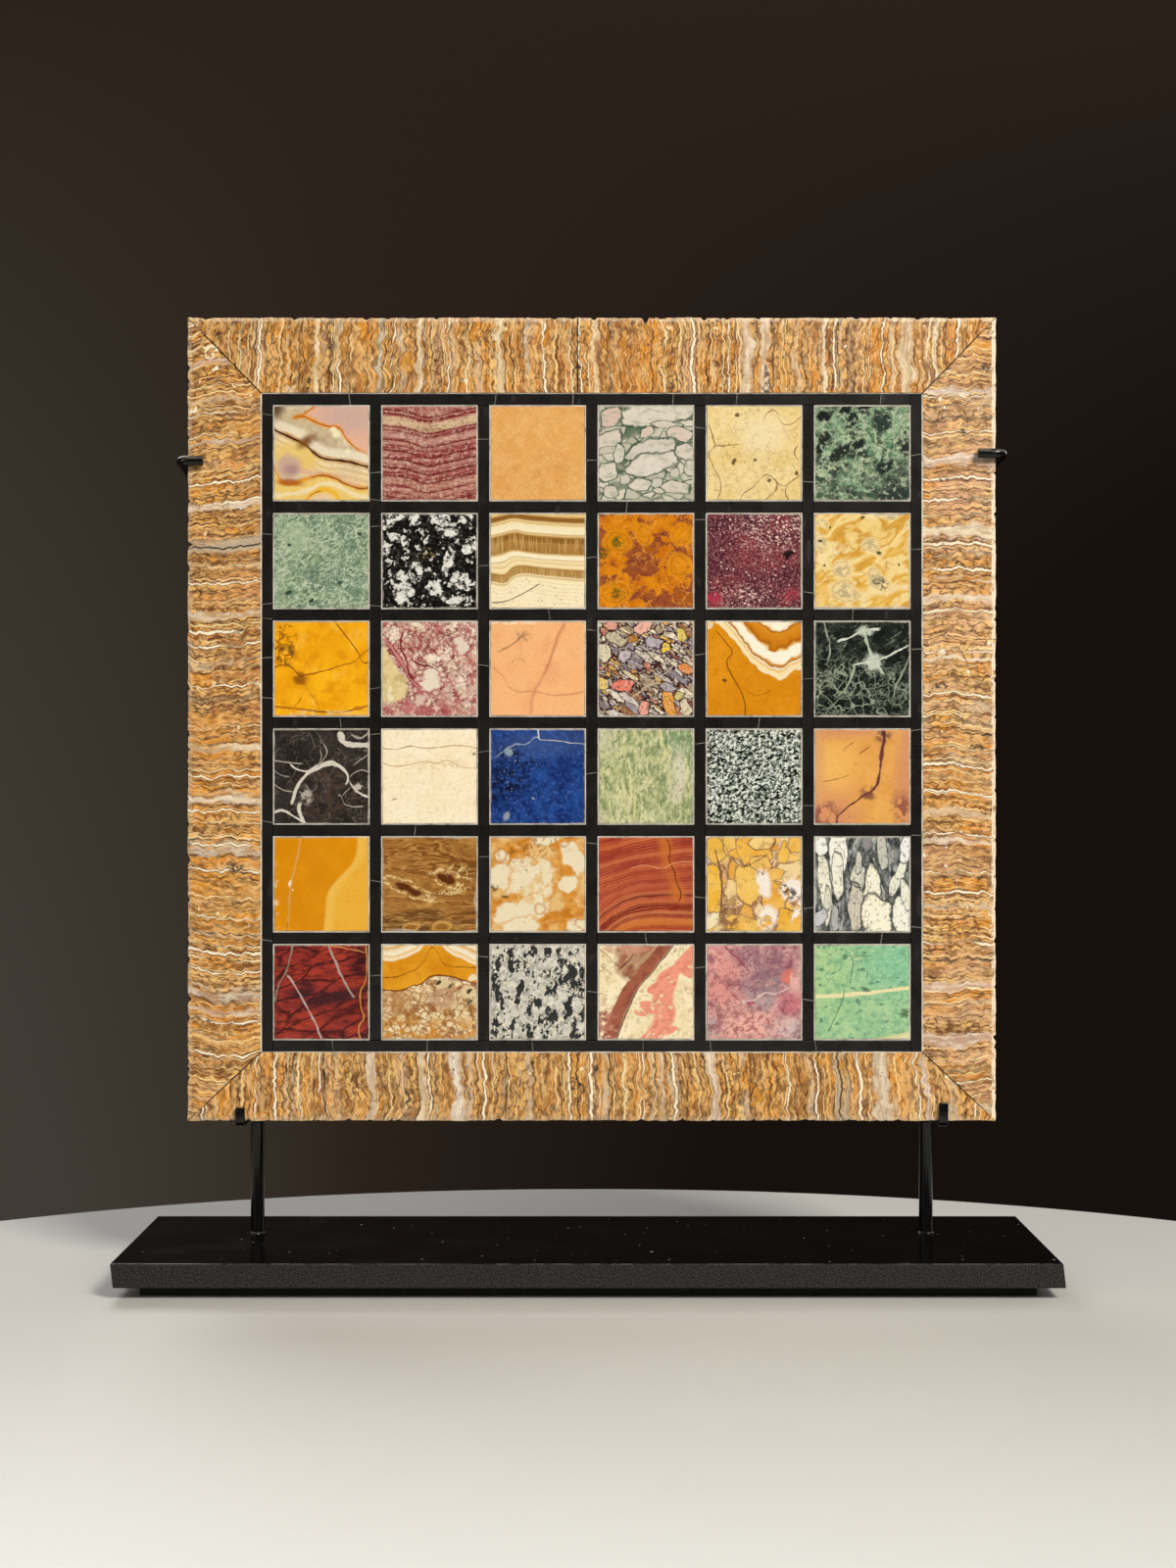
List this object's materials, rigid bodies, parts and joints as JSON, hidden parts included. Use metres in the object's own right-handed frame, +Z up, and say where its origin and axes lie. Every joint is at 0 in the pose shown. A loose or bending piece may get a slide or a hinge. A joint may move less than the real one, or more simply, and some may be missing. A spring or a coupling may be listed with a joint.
{
  "type": "marble specimen tablet on a display stand",
  "caption": "Square tablet of polished marble and stone samples in a black strip lattice and a mitred banded border, held upright by hooked rods on a black plate.",
  "frame": {"origin": "middle of the underside of the foot, which is also the middle of the whole object's footprint", "axes": "the polished face looks along -Y, +X is to the right of someone looking at that face, +Z is up"},
  "size_m": [0.3394, 0.1006, 0.3563],
  "materials": {
    "black_rubber": "matte",
    "black_painted_steel": "gloss",
    "grey_slate": "matte",
    "banded_travertine": "satin",
    "black_marble": "satin",
    "cloud_onyx": "satin",
    "rose_banded_alabaster": "satin",
    "buff_limestone": "satin",
    "white_green_breccia": "satin",
    "crackled_cream_marble": "satin",
    "antique_green_marble": "satin",
    "pale_green_serpentine": "satin",
    "black_white_porphyry": "satin",
    "brown_ribbon_onyx": "satin",
    "orange_jasper": "satin",
    "red_porphyry": "satin",
    "shell_yellow_marble": "satin",
    "siena_yellow_marble": "satin",
    "rose_veined_breccia": "satin",
    "flesh_pink_marble": "satin",
    "fragment_breccia": "satin",
    "honey_onyx": "satin",
    "green_black_serpentine": "satin",
    "black_shell_limestone": "satin",
    "ivory_limestone": "satin",
    "lapis_lazuli": "satin",
    "sage_green_marble": "satin",
    "speckled_diorite": "satin",
    "orange_vein_marble": "satin",
    "golden_yellow_marble": "satin",
    "brown_cave_onyx": "satin",
    "honey_cloud_alabaster": "satin",
    "red_stripe_marble": "satin",
    "yellow_breccia": "satin",
    "grey_white_breccia": "satin",
    "red_jasper": "satin",
    "amber_travertine": "satin",
    "white_dark_granite": "satin",
    "coral_cream_breccia": "satin",
    "rose_violet_breccia": "satin",
    "mint_green_marble": "satin"
  },
  "bodies": {
    "root": {"foot": "black_rubber", "plate": "black_painted_steel", "left_upright": "black_painted_steel", "right_upright": "black_painted_steel", "backing_slab": "grey_slate", "border_top_left": "banded_travertine", "border_top_right": "banded_travertine", "border_bottom": "banded_travertine", "border_left": "banded_travertine", "border_right": "banded_travertine", "black_lattice": "black_marble", "cloud_onyx": "cloud_onyx", "rose_banded_alabaster": "rose_banded_alabaster", "buff_limestone": "buff_limestone", "white_green_breccia": "white_green_breccia", "crackled_cream_marble": "crackled_cream_marble", "antique_green_marble": "antique_green_marble", "pale_green_serpentine": "pale_green_serpentine", "black_white_porphyry": "black_white_porphyry", "brown_ribbon_onyx": "brown_ribbon_onyx", "orange_jasper": "orange_jasper", "red_porphyry": "red_porphyry", "shell_yellow_marble": "shell_yellow_marble", "siena_yellow_marble": "siena_yellow_marble", "rose_veined_breccia": "rose_veined_breccia", "flesh_pink_marble": "flesh_pink_marble", "fragment_breccia": "fragment_breccia", "honey_onyx": "honey_onyx", "green_black_serpentine": "green_black_serpentine", "black_shell_limestone": "black_shell_limestone", "ivory_limestone": "ivory_limestone", "lapis_lazuli": "lapis_lazuli", "sage_green_marble": "sage_green_marble", "speckled_diorite": "speckled_diorite", "orange_vein_marble": "orange_vein_marble", "golden_yellow_marble": "golden_yellow_marble", "brown_cave_onyx": "brown_cave_onyx", "honey_cloud_alabaster": "honey_cloud_alabaster", "red_stripe_marble": "red_stripe_marble", "yellow_breccia": "yellow_breccia", "grey_white_breccia": "grey_white_breccia", "red_jasper": "red_jasper", "amber_travertine": "amber_travertine", "white_dark_granite": "white_dark_granite", "coral_cream_breccia": "coral_cream_breccia", "rose_violet_breccia": "rose_violet_breccia", "mint_green_marble": "mint_green_marble"}
  },
  "joints": []
}
